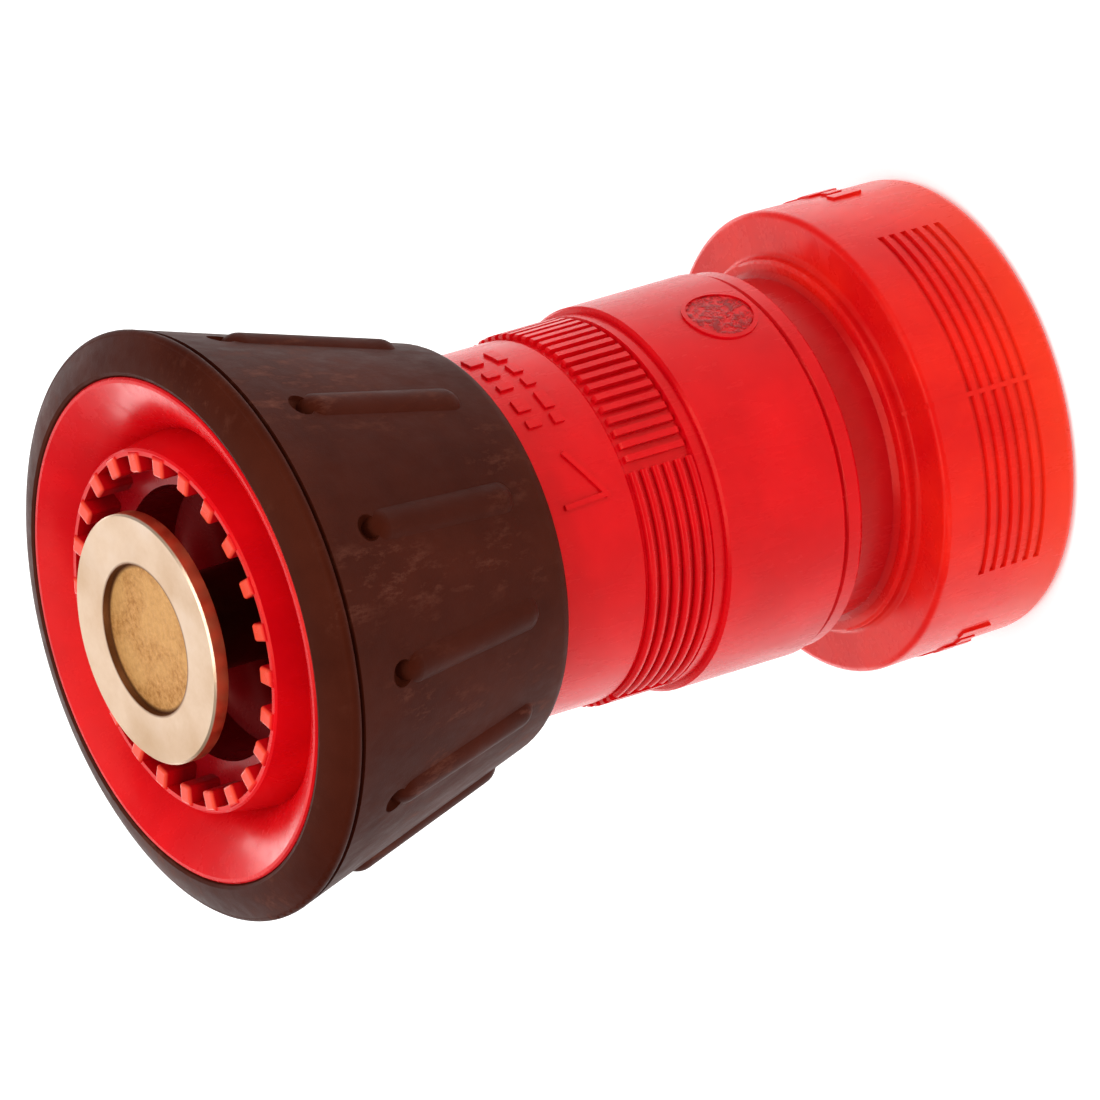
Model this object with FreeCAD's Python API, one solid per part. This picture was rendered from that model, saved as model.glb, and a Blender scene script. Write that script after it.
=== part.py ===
import FreeCAD, Part
import math
import os

# Fire hose nozzle, millimetres. It stands on the coupling's rear face with +Z the way the
# water leaves, drawn in the closed position. Turning the barrel about +Z moves it along +Z.

# overall
overall_length = 142.2      # coupling face to the front of the head
mouth_height = 137.4        # rim of the barrel
barrel_travel = 14.0
drive_lead = 24.0           # barrel travel for one whole turn

# clearances
running = 0.05              # seal ring against the tube and its groove
moving_gap = 0.3            # between the fixed and the moving pieces

# coupling
coupling_radius = 35.1
coupling_length = 24.6
coupling_draft = 0.5
coupling_round = 1.8
thread_minor_radius = 23.77
thread_depth = 1.2
thread_pitch = 2.822        # nine threads to the inch
thread_length = 17.5
gasket_radius = 25.4
gasket_hole_radius = 19.0
gasket_thickness = 4.8
grip_groove_count = 6
grip_groove_pitch = 2.05
grip_groove_first = 6.65
grip_groove_depth = 0.55
grip_panel_angle = 95.0
seam_rise = 0.12
seam_angle = 1.2
mark_count = 7
mark_step = 5.4
mark_rise = 0.15
mark_height = 12.0
mark_length = 5.0

# neck and guide shank
ridge_radius = 28.8
ridge_height = 26.8
neck_radius = 26.3
neck_top = 34.3
relief_radius = 22.6
shank_radius = 25.2
shank_top = 75.0
tube_radius = 21.5
tube_top = 97.0
waterway_radius = 17.0
spider_radius = 18.0
spider_seat = 62.0
drive_starts = 3
lug_radius = 1.6
lug_height = 56.0
drive_floor_radius = 21.9

# stem and valve
spider_thickness = 6.0
spider_ring_width = 2.0
spoke_count = 3
spoke_width = 3.2
hub_radius = 8.0
hub_thickness = 8.0
snap_ring_thickness = 1.5
snap_ring_depth = 0.8
snap_ring_width = 2.2
stem_radius = 6.0
stem_end_radius = 4.0
stem_front_radius = 4.5
washer_radius = 7.4
washer_thickness = 1.2
nut_across_flats = 13.0
nut_thickness = 6.0
plug_base = 93.0
plug_radius = 17.0
plug_top = 110.0
seal_thickness = 3.0
retainer_radius = 12.5
retainer_thickness = 1.5
head_radius = 18.8
head_edge = 2.3
head_neck_radius = 7.5
head_flare_height = 5.0
head_recess_radius = 11.4
head_recess_depth = 0.9
head_bore_depth = 12.0

# barrel
wide_radius = 29.5
front_radius = 27.8
barrel_bottom = 38.2
band_bottom = 59.4
band_collar_height = 1.9
band_top = 72.8
band_radius = 27.6
rib_rise = 0.9
rib_width = 1.0
band_rib_count = 21
band_ring_count = 6
band_ring_pitch = 2.0
seal_groove_bottom = 77.5
seal_ring_thickness = 3.0
throat_radius = 14.0
throat_bottom = 115.0
throat_top = 118.0
seat_bottom = 107.0
mouth_radius = 37.2
rim_radius = 38.0
flare_bottom = 98.0
flare_top = 128.0
flare_radius = 36.4
barb_bottom = 114.5
barb_height = 3.0
barb_rise = 1.3
rim_height = 4.4
emboss_rise = 0.45
badge_radius = 5.8
badge_height = 44.9
badge_angle = 48.0
badge_border = 0.7

# retaining collar at the rear of the barrel
collar_bottom = 34.9
collar_radius = 29.0
collar_thickness = 3.3
collar_lip_radius = 23.0
spigot_radius = 26.6
spigot_length = 4.0
spigot_bead = 0.4
split_width = 2.0

# toothed ring
tooth_count = 24
tooth_angle = 6.5
tooth_tip_radius = 23.8
tooth_width = 2.7
tooth_rise = 0.4
tooth_ring_radius = 28.6
tooth_ring_bottom = 124.0
tooth_ring_bore = 20.8
tooth_ring_shoulder = 132.4
tooth_wall_radius = 26.4
tooth_wall_top = 1.0
dish_floor = 130.0
dish_swell = 0.9            # how far the dish bulges from a straight cone

# bumper
bumper_bottom = 88.0
bumper_rear_radius = 30.9
bumper_cone_top = 132.8
bumper_cone_radius = 44.0
bumper_groove = 0.9
bumper_lip_radius = 44.4
bumper_rib_count = 12
bumper_rib_angle = 8.5
bumper_rib_radius = 3.2
bumper_rib_rise = 0.9
bumper_rib_bottom = 98.2
bumper_rib_top = 121.7
bumper_pit_radius = 2.1
bumper_pit_height = 124.3

ORIGIN = FreeCAD.Vector(0, 0, 0)
UP = FreeCAD.Vector(0, 0, 1)


def at(radius, height, angle=0.0):
    """The point at this radius, height and angle about the axis."""
    turn = math.radians(angle)
    return FreeCAD.Vector(radius * math.cos(turn), radius * math.sin(turn), height)


def turned(outline, sweep=360.0, start=0.0):
    """Solid of revolution about Z. A corner is (radius, height); an arc is (mid, end) corners."""
    here = at(*outline[0])
    first = here
    edges = []
    for corner in outline[1:]:
        if isinstance(corner[0], tuple):
            middle, end = at(*corner[0]), at(*corner[1])
            edges.append(Part.Arc(here, middle, end).toShape())
        else:
            end = at(*corner)
            edges.append(Part.makeLine(here, end))
        here = end
    if here.distanceToPoint(first) > 1e-6:
        edges.append(Part.makeLine(here, first))
    face = Part.Face(Part.Wire(edges))
    solid = face.revolve(ORIGIN, UP, sweep)
    solid.rotate(ORIGIN, UP, start)
    return solid


def around(shape, count, start=0.0, step=None):
    """Copies of a shape at equal angles about Z."""
    step = step or 360.0 / count
    copies = []
    for index in range(count):
        copy = shape.copy()
        copy.rotate(ORIGIN, UP, start + index * step)
        copies.append(copy)
    return copies


def block(radius_from, radius_to, width, height_from, height_to):
    """Rectangular bar that points outwards along +X."""
    corner = FreeCAD.Vector(radius_from, -width / 2, height_from)
    return Part.makeBox(radius_to - radius_from, width, height_to - height_from, corner)


def helix_groove(section, lead, bottom, length):
    """Solid swept by a closed section of (radius, height) corners along a helix about Z."""
    radius = section[0][0]
    path = Part.makeHelix(lead, length, radius)
    path.translate(FreeCAD.Vector(0, 0, bottom))
    corners = [at(r, bottom + h) for r, h in section]
    outline = Part.makePolygon(corners + corners[:1])
    return Part.Wire(path.Edges).makePipeShell([outline], True, True)


def bumper_surface(height):
    """Radius of the bumper's cone at a height."""
    share = (height - bumper_bottom) / (bumper_cone_top - bumper_bottom)
    return bumper_rear_radius + share * (bumper_cone_radius - bumper_rear_radius)


def flare_surface(height):
    """Radius of the barrel's flare under the bumper at a height."""
    share = (height - flare_bottom) / (flare_top - flare_bottom)
    return front_radius + share * (flare_radius - front_radius)


def seat_surface(height):
    """Radius of the barrel's conical seat at a height."""
    share = (height - seat_bottom) / (throat_bottom - seat_bottom)
    return chamber_radius + share * (throat_radius - chamber_radius)


def pad(radius, rise, angle, sweep, height_from, height_to):
    """Curved pad that stands proud of a cylinder about Z, centred on an angle."""
    return turned([
        (radius - 0.6, height_from),
        (radius + rise, height_from),
        (radius + rise, height_to),
        (radius - 0.6, height_to),
    ], sweep, angle - sweep / 2)


def stroke(radius, rise, width, tail, tip):
    """Raised straight line on a cylinder about Z, between two (angle, height) points near +X."""
    ends = []
    for angle, height in (tail, tip):
        ends.append(FreeCAD.Vector(radius - 1.5, radius * math.sin(math.radians(angle)), height))
    along = ends[1] - ends[0]
    along.normalize()
    across = along.cross(FreeCAD.Vector(1, 0, 0)) * (width / 2)
    reach = along * (width / 2)
    corners = [ends[0] - reach - across, ends[1] + reach - across,
               ends[1] + reach + across, ends[0] - reach + across]
    bar = Part.Face(Part.makePolygon(corners + corners[:1])).extrude(FreeCAD.Vector(4, 0, 0))
    return bar.common(Part.makeCylinder(radius + rise, overall_length))


def clean(shape):
    """The one solid of a shape, without needless seams."""
    return shape.removeSplitter().Solids[0]


# sizes that follow from the ones above
chamber_radius = tube_radius + moving_gap
barrel_bore = shank_radius + moving_gap
gasket_top = thread_length + gasket_thickness
relief_top = collar_bottom + collar_thickness + barrel_travel + 2 * moving_gap + 0.3
step_height = shank_top + 2 * moving_gap
washer_bottom = spider_seat - washer_thickness
nut_bottom = washer_bottom - nut_thickness
hub_top = spider_seat + hub_thickness
ring_top = spider_seat + spider_thickness
seal_top = plug_top + seal_thickness
retainer_top = seal_top + retainer_thickness
head_rim = overall_length - head_edge
seal_groove_top = seal_groove_bottom + seal_ring_thickness + 2 * running
seal_ring_outer = tube_radius + seal_ring_thickness
spigot_top = collar_bottom + collar_thickness + spigot_length
bead_height = spigot_top - spigot_length / 2
coupling_mouth = coupling_radius - coupling_round
coupling_bend = (coupling_radius - coupling_round * 0.293, coupling_round * 0.293)
coupling_front = coupling_radius + coupling_draft
barb_top = barb_bottom + barb_height
dish_width = mouth_radius - tooth_ring_radius
dish_depth = mouth_height - dish_floor
dish_slant = math.hypot(dish_width, dish_depth)
dish_bend = (
    mouth_radius - dish_width / 2 - dish_swell * dish_depth / dish_slant,
    dish_floor + dish_depth / 2 + dish_swell * dish_width / dish_slant)
rim_bottom = mouth_height - rim_height
parts = {}

# base: coupling, neck, shank and tube round one waterway
base = turned([
    (thread_minor_radius, 0.0),
    (coupling_mouth, 0.0),
    (coupling_bend, (coupling_radius, coupling_round)),
    (coupling_front, coupling_length - 1.0),
    ((coupling_front - 0.3, coupling_length - 0.3), (coupling_front - 1.0, coupling_length)),
    (ridge_radius + 0.8, coupling_length),
    ((ridge_radius + 0.25, coupling_length + 0.25), (ridge_radius, coupling_length + 0.8)),
    (ridge_radius, ridge_height - 0.6),
    ((ridge_radius - 0.18, ridge_height - 0.18), (ridge_radius - 0.6, ridge_height)),
    (neck_radius + 0.8, ridge_height),
    (neck_radius, ridge_height + 0.8),
    (neck_radius, neck_top - 0.5),
    (neck_radius - 0.5, neck_top),
    (relief_radius, neck_top),
    (relief_radius, relief_top),
    (shank_radius, relief_top),
    (shank_radius, shank_top - 0.6),
    (shank_radius - 0.6, shank_top),
    (tube_radius, shank_top),
    (tube_radius, tube_top - 0.6),
    (tube_radius - 0.6, tube_top),
    (spider_radius, tube_top),
    (spider_radius, spider_seat),
    (waterway_radius, spider_seat),
    (waterway_radius, neck_top),
    (gasket_hole_radius, gasket_top),
    (gasket_radius, gasket_top),
    (gasket_radius, thread_length),
    (thread_minor_radius, thread_length),
])
crest = 0.35
flank = thread_depth * math.tan(math.radians(30)) + crest / 2
thread_section = [
    (thread_minor_radius - 0.2, -flank - 0.115),
    (thread_minor_radius + thread_depth, -crest / 2),
    (thread_minor_radius + thread_depth, crest / 2),
    (thread_minor_radius - 0.2, flank + 0.115),
]
thread = helix_groove(thread_section, thread_pitch, -thread_pitch, thread_length + thread_pitch - 1.5)
snap_groove = turned([
    (spider_radius - 1.0, ring_top),
    (spider_radius + snap_ring_depth, ring_top),
    (spider_radius + snap_ring_depth, ring_top + snap_ring_thickness),
    (spider_radius - 1.0, ring_top + snap_ring_thickness),
])
groove_half = lug_radius + 0.4
drive_section = [
    (drive_floor_radius, -groove_half),
    (shank_radius + 1.0, -groove_half),
    (shank_radius + 1.0, groove_half),
    (drive_floor_radius, groove_half),
]
drive_groove = helix_groove(drive_section, drive_lead, lug_height, shank_top - lug_height + 4.0)
drive_end = Part.makeCylinder(
    groove_half, shank_radius, at(drive_floor_radius, lug_height), FreeCAD.Vector(1, 0, 0))
drive_cuts = around(drive_groove, drive_starts) + around(drive_end, drive_starts)
panel_cuts = []
for index in range(grip_groove_count):
    height = grip_groove_first + index * grip_groove_pitch
    skin = coupling_radius + coupling_draft * height / coupling_length
    groove = turned([
        (skin + grip_groove_depth, height - grip_groove_depth * 1.5),
        (skin + grip_groove_depth, height + grip_groove_depth * 1.5),
        (skin - grip_groove_depth, height + grip_groove_depth / 2),
        (skin - grip_groove_depth, height - grip_groove_depth / 2),
    ], grip_panel_angle, -grip_panel_angle / 2)
    panel_cuts += around(groove, 2)
marks = []
for side in (90.0, 270.0):
    for index in range(mark_count):
        shift = index - (mark_count - 1) / 2
        length = mark_length if index % 2 == 0 else mark_length / 2
        marks.append(pad(
            coupling_front, mark_rise, side + shift * mark_step, mark_step * 0.6,
            mark_height - length / 2, mark_height + length / 2))
seam = turned([
    (coupling_radius - 1.0, coupling_round + 0.7),
    (coupling_radius + seam_rise, coupling_round + 0.7),
    (coupling_front + seam_rise, coupling_length - 1.0),
    (coupling_front - 0.2, coupling_length - 0.2),
    (coupling_front - 1.0, coupling_length + seam_rise),
    (ridge_radius + 0.7, coupling_length + seam_rise),
    (ridge_radius + seam_rise, coupling_length + 0.7),
    (ridge_radius + seam_rise, ridge_height - 0.7),
    (ridge_radius - 1.0, ridge_height - 0.7),
    (ridge_radius - 1.0, coupling_length - 1.0),
    (coupling_front - 1.2, coupling_length - 1.2),
], seam_angle, -seam_angle / 2)
base = base.cut([thread, snap_groove] + drive_cuts + panel_cuts)
base = base.fuse(marks + around(seam, 2))
parts["base_body"] = clean(base)

parts["hose_gasket"] = turned([
    (gasket_hole_radius, thread_length),
    (gasket_radius, thread_length),
    (gasket_radius, gasket_top),
    (gasket_hole_radius, gasket_top),
])

# stem group: spider, snap ring, stem, washer, nut, plug, seal, retainer and head
spider = turned([
    (stem_end_radius, spider_seat),
    (hub_radius, spider_seat),
    (hub_radius, hub_top - 1.0),
    (hub_radius - 1.0, hub_top),
    (stem_end_radius, hub_top),
])
spider_ring = turned([
    (spider_radius - spider_ring_width, spider_seat),
    (spider_radius, spider_seat),
    (spider_radius, ring_top),
    (spider_radius - spider_ring_width, ring_top),
])
spoke = block(hub_radius - 1.0, spider_radius - spider_ring_width + 0.5, spoke_width, spider_seat, ring_top)
parts["stem_spider"] = clean(spider.fuse([spider_ring] + around(spoke, spoke_count)))

snap_ring = turned([
    (spider_radius + snap_ring_depth - snap_ring_width, ring_top),
    (spider_radius + snap_ring_depth, ring_top),
    (spider_radius + snap_ring_depth, ring_top + snap_ring_thickness),
    (spider_radius + snap_ring_depth - snap_ring_width, ring_top + snap_ring_thickness),
])
snap_gap = block(waterway_radius - 3.0, spider_radius + 3.0, 2 * split_width, ring_top - 1, ring_top + 3)
parts["spider_snap_ring"] = clean(snap_ring.cut(snap_gap))

parts["stem"] = turned([
    (0.0, nut_bottom - 1.6),
    (stem_end_radius - 0.6, nut_bottom - 1.6),
    (stem_end_radius, nut_bottom - 1.0),
    (stem_end_radius, hub_top),
    (stem_radius, hub_top),
    (stem_radius, plug_base),
    (stem_front_radius, plug_base),
    (stem_front_radius, retainer_top + head_bore_depth),
    (0.0, retainer_top + head_bore_depth),
])
parts["stem_washer"] = turned([
    (stem_end_radius, washer_bottom),
    (washer_radius, washer_bottom),
    (washer_radius, spider_seat),
    (stem_end_radius, spider_seat),
])
nut_corner = nut_across_flats / 2 / math.cos(math.radians(30))
hexagon = Part.makePolygon([at(nut_corner, nut_bottom, 60.0 * side) for side in range(7)])
nut = Part.Face(hexagon).extrude(FreeCAD.Vector(0, 0, nut_thickness))
nut_hole = Part.makeCylinder(stem_end_radius, nut_thickness, at(0, nut_bottom))
parts["stem_nut"] = clean(nut.cut(nut_hole))

parts["valve_plug"] = turned([
    (stem_front_radius, plug_base),
    (stem_radius, plug_base),
    (plug_radius, plug_base + plug_radius - stem_radius),
    (plug_radius, plug_top),
    (stem_front_radius, plug_top),
])
slope = (chamber_radius - throat_radius) / (throat_bottom - seat_bottom)
seat_clearance = moving_gap * math.hypot(1.0, slope)
parts["plug_seal"] = turned([
    (stem_front_radius, plug_top),
    (seat_surface(plug_top) - seat_clearance, plug_top),
    (seat_surface(seal_top) - seat_clearance, seal_top),
    (stem_front_radius, seal_top),
])
parts["seal_retainer"] = turned([
    (stem_front_radius, seal_top),
    (retainer_radius, seal_top),
    (retainer_radius - 1.0, retainer_top),
    (stem_front_radius, retainer_top),
])
flare_start = head_rim - head_flare_height
parts["baffle_head"] = turned([
    (stem_front_radius, retainer_top),
    (head_neck_radius, retainer_top),
    (head_neck_radius, flare_start),
    (head_radius, head_rim),
    (head_radius, overall_length - 0.3),
    (head_radius - 0.3, overall_length),
    (head_recess_radius, overall_length),
    (head_recess_radius - 0.2, overall_length - head_recess_depth),
    (0.0, overall_length - head_recess_depth),
    (0.0, retainer_top + head_bore_depth),
    (stem_front_radius, retainer_top + head_bore_depth),
])

# sliding seal ring
parts["barrel_seal_ring"] = turned([
    (tube_radius + running, seal_groove_bottom + running),
    (seal_ring_outer, seal_groove_bottom + running),
    (seal_ring_outer, seal_groove_top - running),
    (tube_radius + running, seal_groove_top - running),
])

# barrel, whose flared end carries the bumper
under_bumper = [
    (front_radius, flare_bottom),
    (flare_surface(barb_bottom), barb_bottom),
    (flare_surface(barb_bottom) + barb_rise, barb_bottom),
    (flare_surface(barb_top) + barb_rise, barb_top),
    (flare_radius, flare_top),
    (rim_radius, rim_bottom),
]
barrel = turned([
    (spigot_radius, barrel_bottom),
    (wide_radius - 0.5, barrel_bottom),
    (wide_radius, barrel_bottom + 0.5),
    (wide_radius, band_bottom - 0.4),
    (wide_radius - 0.4, band_bottom),
    (band_radius + rib_rise, band_bottom),
    (band_radius + rib_rise, band_bottom + band_collar_height),
    (band_radius, band_bottom + band_collar_height + 0.3),
    (band_radius, band_top),
    (front_radius, band_top + 0.4),
] + under_bumper + [
    (rim_radius, mouth_height - 0.3),
    (rim_radius - 0.3, mouth_height),
    (mouth_radius, mouth_height),
    (dish_bend, (tooth_ring_radius, dish_floor)),
    (tooth_ring_radius, tooth_ring_bottom),
    (tooth_ring_bore, tooth_ring_bottom),
    ((throat_radius + 2.6, throat_top + 3.6), (throat_radius, throat_top)),
    (throat_radius, throat_bottom),
    (chamber_radius, seat_bottom),
    (chamber_radius, seal_groove_top),
    (seal_ring_outer + running, seal_groove_top),
    (seal_ring_outer + running, seal_groove_bottom),
    (chamber_radius, seal_groove_bottom),
    (chamber_radius, step_height),
    (barrel_bore, step_height),
    (barrel_bore, spigot_top),
    (spigot_radius, spigot_top),
    (spigot_radius, bead_height + spigot_bead),
    (spigot_radius + spigot_bead, bead_height),
    (spigot_radius, bead_height - spigot_bead),
])
rib_low = band_bottom + band_collar_height + 0.6
axial_rib = block(band_radius - 0.4, band_radius + rib_rise, rib_width, rib_low, band_top - 0.5)
axial_rib = axial_rib.makeChamfer(0.3, [axial_rib.Edges[index] for index in (5, 7)])
sector = 90.0
step = sector / band_rib_count
ribs = []
for quarter in (0, 2):
    ribs += around(axial_rib, band_rib_count, bumper_rib_angle + quarter * sector + step / 2, step)
for index in range(band_ring_count):
    height = band_top - 0.9 - index * band_ring_pitch
    ring_rib = turned([
        (band_radius - 0.4, height - 0.55),
        (band_radius, height - 0.55),
        ((band_radius + rib_rise, height), (band_radius, height + 0.55)),
        (band_radius - 0.4, height + 0.55),
    ], sector - step)
    ribs += around(ring_rib, 2, bumper_rib_angle - sector + step / 2)
lug = Part.makeCylinder(
    lug_radius, barrel_bore + 1.0 - drive_floor_radius - moving_gap,
    at(drive_floor_radius + moving_gap, lug_height), FreeCAD.Vector(1, 0, 0))
badge = Part.makeCylinder(badge_radius, 2.0, at(wide_radius - 1.6, badge_height), FreeCAD.Vector(1, 0, 0))
badge = badge.common(Part.makeCylinder(wide_radius + 0.35, overall_length))
badge_hollow = Part.makeCylinder(
    badge_radius - badge_border, 3.0, at(wide_radius - 1.6, badge_height), FreeCAD.Vector(1, 0, 0))
badge_hollow = badge_hollow.cut(Part.makeCylinder(wide_radius + 0.12, overall_length))
badge = badge.cut(badge_hollow)
badge.rotate(ORIGIN, UP, badge_angle)
pointer_tip = (2.5, 77.2)
pointer = [
    stroke(front_radius, emboss_rise, 0.8, pointer_tip, (17.7, 81.4)),
    stroke(front_radius, emboss_rise, 0.8, pointer_tip, (1.8, 84.2)),
]
labels = []
for angle, sweep in ((30.0, 4.0), (37.5, 7.0), (46.5, 4.0), (54.0, 5.0), (64.0, 8.0)):
    labels.append(pad(front_radius, emboss_rise, angle, sweep, 78.5, 80.2))
    labels.append(pad(front_radius, emboss_rise, angle, sweep * 0.7, 82.3, 84.6))
barrel = barrel.fuse(ribs + around(lug, drive_starts) + [badge] + pointer + labels)
parts["barrel"] = clean(barrel)

# retaining collar, split so that it springs over the neck
collar = turned([
    (collar_lip_radius, collar_bottom),
    (collar_radius - 0.6, collar_bottom),
    ((collar_radius - 0.18, collar_bottom + 0.18), (collar_radius, collar_bottom + 0.6)),
    (collar_radius, collar_bottom + collar_thickness - 0.7),
    (collar_radius - 0.7, collar_bottom + collar_thickness),
    (spigot_radius, collar_bottom + collar_thickness),
    (spigot_radius, bead_height - spigot_bead),
    (spigot_radius + spigot_bead, bead_height),
    (spigot_radius, bead_height + spigot_bead),
    (spigot_radius, spigot_top),
    (barrel_bore, spigot_top),
    (barrel_bore, collar_bottom + collar_thickness),
    (collar_lip_radius, collar_bottom + collar_thickness),
])
split = block(-collar_radius - 1.0, 0.0, split_width, collar_bottom - 1.0, spigot_top + 1.0)
parts["retaining_ring"] = clean(collar.cut(split))

# toothed ring
tooth_ring = turned([
    (tooth_ring_bore, tooth_ring_bottom),
    (tooth_ring_radius, tooth_ring_bottom),
    (tooth_ring_radius, dish_floor),
    (tooth_wall_radius + tooth_wall_top, mouth_height - 0.3),
    (tooth_wall_radius + tooth_wall_top - 0.3, mouth_height),
    (tooth_wall_radius, mouth_height),
    (tooth_wall_radius, tooth_ring_shoulder),
    (tooth_ring_bore, tooth_ring_shoulder),
])
tooth_top = mouth_height + tooth_rise
tooth = block(
    tooth_tip_radius, tooth_wall_radius + tooth_wall_top / 2, tooth_width,
    tooth_ring_shoulder - 0.5, tooth_top)
soft_edges = []
for edge in tooth.Edges:
    middle = edge.CenterOfMass
    if middle.x < tooth_tip_radius + 0.01 and middle.z > tooth_ring_shoulder or middle.z > tooth_top - 0.01:
        soft_edges.append(edge)
tooth = tooth.makeFillet(0.5, soft_edges)
parts["tooth_ring"] = clean(tooth_ring.fuse(around(tooth, tooth_count, tooth_angle)))

# bumper
bumper_bend = bumper_bottom + 2.2
bumper = turned([
    (front_radius, bumper_bottom),
    (bumper_rear_radius - 1.8, bumper_bottom),
    ((bumper_rear_radius - 0.45, bumper_bottom + 0.6), (bumper_surface(bumper_bend), bumper_bend)),
    (bumper_cone_radius, bumper_cone_top),
    (bumper_cone_radius - bumper_groove, bumper_cone_top + 0.35),
    (bumper_cone_radius - bumper_groove, bumper_cone_top + 0.6),
    ((bumper_lip_radius, bumper_cone_top + 1.3), (bumper_lip_radius - 0.7, bumper_cone_top + 2.4)),
    ((bumper_lip_radius - 2.6, mouth_height - 1.0), (rim_radius + 0.8, mouth_height)),
    (rim_radius + 0.3, mouth_height - 0.15),
    (rim_radius, mouth_height - 0.6),
] + under_bumper[::-1])
sink = bumper_rib_radius - bumper_rib_rise
low = at(bumper_surface(bumper_rib_bottom) - sink, bumper_rib_bottom)
high = at(bumper_surface(bumper_rib_top) - sink, bumper_rib_top)
bar = Part.makeCylinder(bumper_rib_radius, low.distanceToPoint(high), low, high - low)
bumper_rib = bar.fuse([Part.makeSphere(bumper_rib_radius, low), Part.makeSphere(bumper_rib_radius, high)])
core = [(front_radius - 3.0, bumper_bottom), (front_radius, bumper_bottom)]
bumper_rib = bumper_rib.cut(turned(core + under_bumper + [(front_radius - 3.0, rim_bottom)]))
pit = Part.makeSphere(bumper_pit_radius, at(bumper_surface(bumper_pit_height) + 0.3, bumper_pit_height))
bumper = bumper.cut(around(pit, bumper_rib_count, bumper_rib_angle))
bumper = bumper.fuse(around(bumper_rib, bumper_rib_count, bumper_rib_angle))
parts["bumper"] = clean(bumper)

os.makedirs("parts", exist_ok=True)
for name, solid in parts.items():
    solid.exportStep("parts/" + name + ".step")
    print(name, solid.isValid(), round(solid.Volume))
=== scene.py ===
import bpy
from mathutils import Matrix, Vector

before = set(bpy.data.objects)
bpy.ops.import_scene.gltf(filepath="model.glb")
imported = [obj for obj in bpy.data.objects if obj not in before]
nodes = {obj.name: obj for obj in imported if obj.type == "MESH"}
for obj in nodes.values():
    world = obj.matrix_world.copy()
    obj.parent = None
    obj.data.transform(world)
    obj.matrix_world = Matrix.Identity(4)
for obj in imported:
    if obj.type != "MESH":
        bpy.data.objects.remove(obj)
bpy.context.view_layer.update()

# Places on the pieces, in metres. A pair is where a colour starts to fade and where the fade ends.
BADGE_MIDDLE = (0.0197, 0.0219, 0.0449)
BADGE_EDGE = (0.0048, 0.0051)
MOUTH_WALL = (0.0264, 0.0269)
MOUTH_DEPTH = (0.1345, 0.1366)
TOOTH_TIPS = (0.1373, 0.1377)
COUPLING_END = (0.0, 0.012)
NECK_WALL = (0.0260, 0.0275)
RECESS_RADIUS = 0.0114
RECESS_WALL = (RECESS_RADIUS - 0.0003, RECESS_RADIUS)
RECESS_LINE_INSIDE = (RECESS_RADIUS - 0.0009, RECESS_RADIUS - 0.0004)
RECESS_LINE_OUTSIDE = (RECESS_RADIUS, RECESS_RADIUS + 0.0004)
HEAD_FRONT = (0.1405, 0.1408)
HEAD_SIDE = (0.0184, 0.0187)
HEAD_SIDE_TOP = (0.1417, 0.1420)
HEAD_BACK = (0.1388, 0.1396)

# Colours that are used more than once.
DARK_RED = (0.52, 0.001, 0.005)
LIGHT_RED = (0.68, 0.003, 0.007)

# How far the streaks are drawn out along the nozzle's axis.
ALONG_AXIS = (1, 1, 0.3)


# ---------------------------------------------------------------- materials
def start(name):
    """A material with its node tree, its shader and the object's own coordinates in metres."""
    material = bpy.data.materials.new(name)
    material.use_nodes = True
    tree = material.node_tree
    shader = tree.nodes["Principled BSDF"]
    place = tree.nodes.new("ShaderNodeTexCoord").outputs["Object"]
    return material, tree, shader, place


def noise(tree, place, scale, detail=3.0, roughness=0.5):
    """Noise whose scale is in features per metre."""
    node = tree.nodes.new("ShaderNodeTexNoise")
    node.inputs["Scale"].default_value = scale
    node.inputs["Detail"].default_value = detail
    node.inputs["Roughness"].default_value = roughness
    tree.links.new(place, node.inputs["Vector"])
    return node.outputs["Fac"]


def ramp(tree, source, stops):
    """Colours by value: stops are (position, colour)."""
    node = tree.nodes.new("ShaderNodeValToRGB")
    ends = node.color_ramp.elements
    ends[0].position, ends[0].color = stops[0][0], (*stops[0][1], 1)
    ends[1].position, ends[1].color = stops[-1][0], (*stops[-1][1], 1)
    for position, colour in stops[1:-1]:
        ends.new(position).color = (*colour, 1)
    tree.links.new(source, node.inputs["Fac"])
    return node.outputs["Color"]


def between(tree, source, low, high, start_at=0.3, end_at=0.7):
    """A number that follows a source from low to high."""
    node = tree.nodes.new("ShaderNodeMapRange")
    node.inputs["From Min"].default_value = start_at
    node.inputs["From Max"].default_value = end_at
    node.inputs["To Min"].default_value = low
    node.inputs["To Max"].default_value = high
    tree.links.new(source, node.inputs["Value"])
    return node.outputs["Result"]


def rising(tree, source, fade):
    """A share that goes from 0 to 1 while the source passes through the fade."""
    return between(tree, source, 0.0, 1.0, *fade)


def falling(tree, source, fade):
    """A share that goes from 1 to 0 while the source passes through the fade."""
    return between(tree, source, 1.0, 0.0, *fade)


def bump(tree, source, shader, depth, strength=1.0, before=None):
    """Surface relief of a depth in metres."""
    node = tree.nodes.new("ShaderNodeBump")
    node.inputs["Distance"].default_value = depth
    node.inputs["Strength"].default_value = strength
    tree.links.new(source, node.inputs["Height"])
    if before is not None:
        tree.links.new(before, node.inputs["Normal"])
    tree.links.new(node.outputs["Normal"], shader.inputs["Normal"])
    return node.outputs["Normal"]


def stretched(tree, place, factors):
    """The coordinates scaled by a factor on each axis, which draws noise out into streaks."""
    node = tree.nodes.new("ShaderNodeVectorMath")
    node.operation = "MULTIPLY"
    node.inputs[1].default_value = factors
    tree.links.new(place, node.inputs[0])
    return node.outputs["Vector"]


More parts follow.
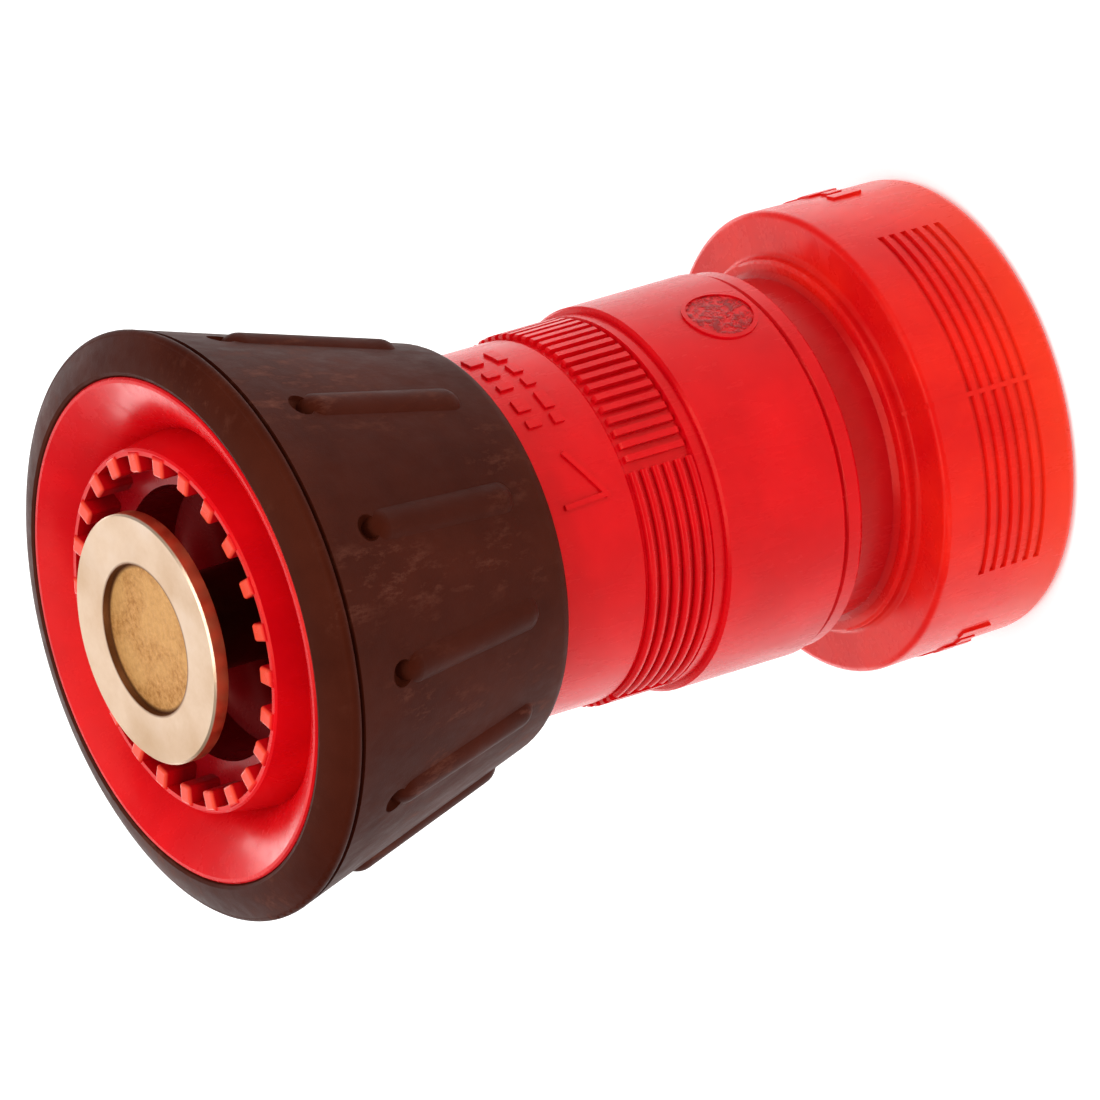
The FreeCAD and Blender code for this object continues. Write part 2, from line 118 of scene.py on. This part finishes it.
def from_axis(tree, place):
    """Distance from the nozzle's axis in metres."""
    node = tree.nodes.new("ShaderNodeVectorMath")
    node.operation = "LENGTH"
    tree.links.new(stretched(tree, place, (1, 1, 0)), node.inputs[0])
    return node.outputs["Value"]


def above_floor(tree, place):
    """Height above the floor in metres."""
    node = tree.nodes.new("ShaderNodeSeparateXYZ")
    tree.links.new(place, node.inputs["Vector"])
    return node.outputs["Z"]


def from_point(tree, place, point):
    """Distance from a point in metres."""
    node = tree.nodes.new("ShaderNodeVectorMath")
    node.operation = "DISTANCE"
    node.inputs[1].default_value = point
    tree.links.new(place, node.inputs[0])
    return node.outputs["Value"]


def mixed(tree, share, low, high):
    """One colour or the other by a share from 0 to 1. A colour is three numbers or a socket."""
    node = tree.nodes.new("ShaderNodeMix")
    node.data_type = "RGBA"
    tree.links.new(share, node.inputs["Factor"])
    for socket, value in ((node.inputs[6], low), (node.inputs[7], high)):
        if isinstance(value, tuple):
            socket.default_value = (*value, 1)
        else:
            tree.links.new(value, socket)
    return node.outputs[2]


def mixed_number(tree, share, low, high):
    """A number that goes from a socket to a constant by a share from 0 to 1."""
    node = tree.nodes.new("ShaderNodeMix")
    node.data_type = "FLOAT"
    tree.links.new(share, node.inputs["Factor"])
    tree.links.new(low, node.inputs[2])
    node.inputs[3].default_value = high
    return node.outputs[0]


def times(tree, first, second):
    """Product of two numbers."""
    node = tree.nodes.new("ShaderNodeMath")
    node.operation = "MULTIPLY"
    for socket, value in zip(node.inputs, (first, second)):
        if isinstance(value, float):
            socket.default_value = value
        else:
            tree.links.new(value, socket)
    return node.outputs["Value"]


def make_red(name, dark, light, rough, badge=None, mouth=False, painted_glow_and_shade=False):
    """Glossy moulded polycarbonate, slightly cloudy.

    A badge is the middle of a stippled disc. The mouth gets painted shade inwards, down in the cavity,
    and a painted highlight on its tooth tops. The ends get a painted glow on the thin edge near the
    floor, as if light came through it, and painted shade on the neck and the bore.
    """
    material, tree, shader, place = start(name)
    cloud = noise(tree, place, 55, 4, 0.55)
    colour = ramp(tree, cloud, [(0.32, dark), (0.68, light)])
    smear = noise(tree, stretched(tree, place, ALONG_AXIS), 240, 5, 0.65)
    flow = between(tree, smear, 0.0, 0.12, 0.5, 0.75)
    colour = mixed(tree, flow, colour, dark)
    tree.links.new(between(tree, smear, rough - 0.05, rough + 0.1), shader.inputs["Roughness"])
    ripple = noise(tree, place, 130, 2)
    relief = bump(tree, ripple, shader, 0.00009, 0.7)
    speck = noise(tree, place, 2600, 2)
    relief = bump(tree, speck, shader, 0.000008, 0.5, relief)
    if badge is not None:
        inside = falling(tree, from_point(tree, place, badge), BADGE_EDGE)
        stipple = noise(tree, place, 900, 3, 0.6)
        spots = times(tree, inside, rising(tree, stipple, (0.42, 0.62)))
        colour = mixed(tree, spots, colour, (0.24, 0.004, 0.006))
        bump(tree, spots, shader, 0.00022, 0.9, relief)
    if mouth:
        radius, height = from_axis(tree, place), above_floor(tree, place)
        inner = falling(tree, radius, MOUTH_WALL)
        # Painted shade: inside the mouth wall, below the tooth ring, the red is made much darker.
        cavity_shade = times(tree, inner, falling(tree, height, MOUTH_DEPTH))
        colour = mixed(tree, cavity_shade, colour, (0.26, 0.002, 0.005))
        # Painted highlight: the tooth tops are made paler, as if lit from the front.
        tip_highlight = times(tree, inner, rising(tree, height, TOOTH_TIPS))
        colour = mixed(tree, tip_highlight, colour, (0.72, 0.06, 0.03))
    if painted_glow_and_shade:
        radius, height = from_axis(tree, place), above_floor(tree, place)
        # Painted glow: the thin edge near the floor is made paler, as if light came through it.
        thin = between(tree, height, 0.7, 0.0, *COUPLING_END)
        colour = mixed(tree, thin, colour, (0.84, 0.05, 0.014))
        # Painted shade: the neck and the bore, inside the hollow, are made darker.
        neck = falling(tree, radius, NECK_WALL)
        colour = mixed(tree, neck, colour, (0.44, 0.003, 0.006))
    tree.links.new(colour, shader.inputs["Base Color"])
    shader.inputs["Subsurface Weight"].default_value = 0.2
    shader.inputs["Subsurface Radius"].default_value = (1.0, 0.12, 0.06)
    shader.inputs["Subsurface Scale"].default_value = 0.003
    shader.inputs["IOR"].default_value = 1.5
    shader.inputs["Specular IOR Level"].default_value = 0.38
    shader.inputs["Specular Tint"].default_value = (1.0, 0.22, 0.16, 1)
    return material


def make_rubber(name, dark, light, scuffed, rough):
    """Moulded rubber with a fine grain and pale rubbed streaks along the piece."""
    material, tree, shader, place = start(name)
    cloud = noise(tree, place, 60, 5, 0.6)
    colour = ramp(tree, cloud, [(0.28, dark), (0.72, light)])
    scuff = noise(tree, stretched(tree, place, ALONG_AXIS), 420, 6, 0.72)
    patch = noise(tree, place, 55, 2)
    rubbed = times(tree, rising(tree, scuff, (0.52, 0.72)), rising(tree, patch, (0.45, 0.65)))
    tree.links.new(mixed(tree, rubbed, colour, scuffed), shader.inputs["Base Color"])
    tree.links.new(between(tree, scuff, rough - 0.08, rough + 0.1), shader.inputs["Roughness"])
    swell = noise(tree, place, 90, 3)
    relief = bump(tree, swell, shader, 0.0003, 0.8)
    grain = noise(tree, place, 3200, 3)
    bump(tree, grain, shader, 0.00003, 0.6, relief)
    shader.inputs["Specular IOR Level"].default_value = 0.06
    shader.inputs["Specular Tint"].default_value = (0.9, 0.4, 0.25, 1)
    return material


def make_metal(name, dark, light, rough, grain_scale, grain_depth):
    """Turned metal with a fine grain."""
    material, tree, shader, place = start(name)
    cloud = noise(tree, place, 90, 5, 0.6)
    colour = ramp(tree, cloud, [(0.3, dark), (0.7, light)])
    tree.links.new(colour, shader.inputs["Base Color"])
    wear = noise(tree, place, 420, 5, 0.6)
    tree.links.new(between(tree, wear, rough - 0.06, rough + 0.12), shader.inputs["Roughness"])
    grain = noise(tree, place, grain_scale, 4)
    bump(tree, grain, shader, grain_depth, 0.7)
    shader.inputs["Metallic"].default_value = 1.0
    return material


def make_head_brass(name):
    """Pale faced front with soft stains, round a rough tan recess; the back and the neck have painted
    shade.
    """
    material, tree, shader, place = start(name)
    radius, height = from_axis(tree, place), above_floor(tree, place)
    cloud = noise(tree, place, 110, 5, 0.6)
    face = ramp(tree, cloud, [
        (0.3, (0.58, 0.39, 0.25)),
        (0.55, (0.66, 0.48, 0.34)),
        (0.75, (0.70, 0.54, 0.42)),
    ])
    stain = noise(tree, place, 48, 1, 0.4)
    face = mixed(tree, between(tree, stain, 0.0, 0.5, 0.50, 0.68), face, (0.40, 0.22, 0.09))
    grit = noise(tree, place, 1300, 4, 0.7)
    broad = noise(tree, place, 150, 2)
    cast = ramp(tree, grit, [
        (0.3, (0.36, 0.145, 0.034)),
        (0.5, (0.53, 0.26, 0.076)),
        (0.7, (0.66, 0.36, 0.135)),
    ])
    cast = mixed(tree, between(tree, broad, 0.0, 0.6, 0.4, 0.6), cast, (0.69, 0.40, 0.15))
    front = rising(tree, height, HEAD_FRONT)
    inside = times(tree, front, falling(tree, radius, RECESS_WALL))
    colour = mixed(tree, inside, face, cast)
    line = times(
        tree, rising(tree, radius, RECESS_LINE_INSIDE), falling(tree, radius, RECESS_LINE_OUTSIDE))
    colour = mixed(tree, line, colour, (0.16, 0.06, 0.02))
    side = times(tree, rising(tree, radius, HEAD_SIDE), falling(tree, height, HEAD_SIDE_TOP))
    colour = mixed(tree, side, colour, (0.62, 0.26, 0.12))
    # Painted shade: the back and the neck of the head, under its front, are made nearly black.
    behind = falling(tree, height, HEAD_BACK)
    colour = mixed(tree, behind, colour, (0.10, 0.03, 0.012))
    tree.links.new(colour, shader.inputs["Base Color"])
    wear = between(tree, noise(tree, place, 420, 5, 0.6), 0.28, 0.44)
    tree.links.new(mixed_number(tree, inside, wear, 0.6), shader.inputs["Roughness"])
    relief = bump(tree, noise(tree, place, 1800, 4), shader, 0.00002, 0.7)
    bump(tree, times(tree, grit, inside), shader, 0.0002, 0.9, relief)
    shader.inputs["Metallic"].default_value = 1.0
    return material


red = make_red("red_polycarbonate", DARK_RED, LIGHT_RED, 0.24)
barrel_red = make_red("red_barrel", DARK_RED, LIGHT_RED, 0.24, badge=BADGE_MIDDLE, mouth=True)
tooth_red = make_red("red_teeth", DARK_RED, LIGHT_RED, 0.22, mouth=True)
coupling_red = make_red("red_coupling", (0.58, 0.003, 0.005), (0.76, 0.013, 0.006), 0.24, painted_glow_and_shade=True)
bumper_rubber = make_rubber(
    "bumper_rubber", (0.032, 0.0045, 0.0018), (0.054, 0.0088, 0.0038), (0.11, 0.033, 0.020), 0.5)
seal_rubber = make_rubber(
    "seal_rubber", (0.012, 0.012, 0.012), (0.022, 0.022, 0.022), (0.04, 0.04, 0.04), 0.5)
brass = make_metal("turned_brass", (0.55, 0.38, 0.16), (0.70, 0.52, 0.26), 0.3, 1500, 0.00002)
head_brass = make_head_brass("faced_brass")
steel = make_metal("spring_steel", (0.42, 0.42, 0.43), (0.55, 0.55, 0.56), 0.3, 1500, 0.00001)

looks = {
    "base_body": coupling_red, "barrel": barrel_red, "retaining_ring": red, "tooth_ring": tooth_red,
    "bumper": bumper_rubber, "hose_gasket": seal_rubber, "plug_seal": seal_rubber,
    "barrel_seal_ring": seal_rubber, "spider_snap_ring": steel, "baffle_head": head_brass,
}
for name, node in nodes.items():
    node.data.materials.clear()
    node.data.materials.append(looks.get(name, brass))

# ---------------------------------------------------------------- floor, light and camera
floor_material, floor_tree, floor_shader, floor_place = start("floor")
floor_cloud = noise(floor_tree, floor_place, 3)
floor_colour = ramp(floor_tree, floor_cloud, [(0.3, (0.93, 0.93, 0.93)), (0.7, (0.95, 0.95, 0.95))])
floor_tree.links.new(floor_colour, floor_shader.inputs["Base Color"])
floor_shader.inputs["Roughness"].default_value = 0.8
floor_shader.inputs["Emission Color"].default_value = (1, 1, 1, 1)
floor_shader.inputs["Emission Strength"].default_value = 0.25
bpy.ops.mesh.primitive_plane_add(size=14)
floor = bpy.context.object
floor.name = "floor"
floor.data.materials.append(floor_material)

world = bpy.data.worlds.new("studio")
bpy.context.scene.world = world
world.use_nodes = True
world.node_tree.nodes["Background"].inputs["Color"].default_value = (1, 1, 1, 1)
world.node_tree.nodes["Background"].inputs["Strength"].default_value = 0.42


def soft_light(name, place, target, size, power):
    """A rectangular light that faces a target: size in metres, power in watts."""
    lamp = bpy.data.lights.new(name, "AREA")
    lamp.shape = "RECTANGLE"
    lamp.size, lamp.size_y = size
    lamp.energy = power
    lamp_object = bpy.data.objects.new(name, lamp)
    bpy.context.collection.objects.link(lamp_object)
    lamp_object.location = place
    lamp_object.rotation_euler = (Vector(target) - Vector(place)).to_track_quat("-Z", "Y").to_euler()


middle = (0, 0, 0.07)
mouth = (0, 0, 0.14)
soft_light("overhead", (0.1, 0.0, 1.7), middle, (1.6, 1.6), 17)
soft_light("behind", (-1.15, 0.0, 0.80), mouth, (0.9, 0.9), 2.2)
soft_light("low_behind", (-1.2, 0.0, 0.24), (0, 0, 0.13), (1.5, 0.35), 5.0)
soft_light("strip", (0.62, 0.0, 1.15), middle, (1.7, 0.14), 6.5)
soft_light("key_a", (0.9, 0.9, 0.6), middle, (0.5, 0.5), 2.6)
soft_light("key_b", (0.8, -1.0, 0.5), middle, (0.5, 0.5), 2.2)

bpy.context.scene.view_settings.view_transform = "Standard"

camera = bpy.data.cameras.new("camera")
camera_object = bpy.data.objects.new("camera", camera)
bpy.context.collection.objects.link(camera_object)
# The camera is turned so that the nozzle, which stands on its coupling, lies across the picture.
right = Vector((0.48347549, -0.28651228, -0.82714096))
up = Vector((0.14458308, 0.95807657, -0.24735605))
back = right.cross(up)
turn = Matrix((right, up, back)).transposed().to_4x4()
camera_place = (1.5321197, -0.0043194, 0.9682518)
camera_object.matrix_world = Matrix.Translation(camera_place) @ turn
camera.sensor_width = 36
camera.lens = 392.727
camera.clip_end = 30
bpy.context.scene.camera = camera_object
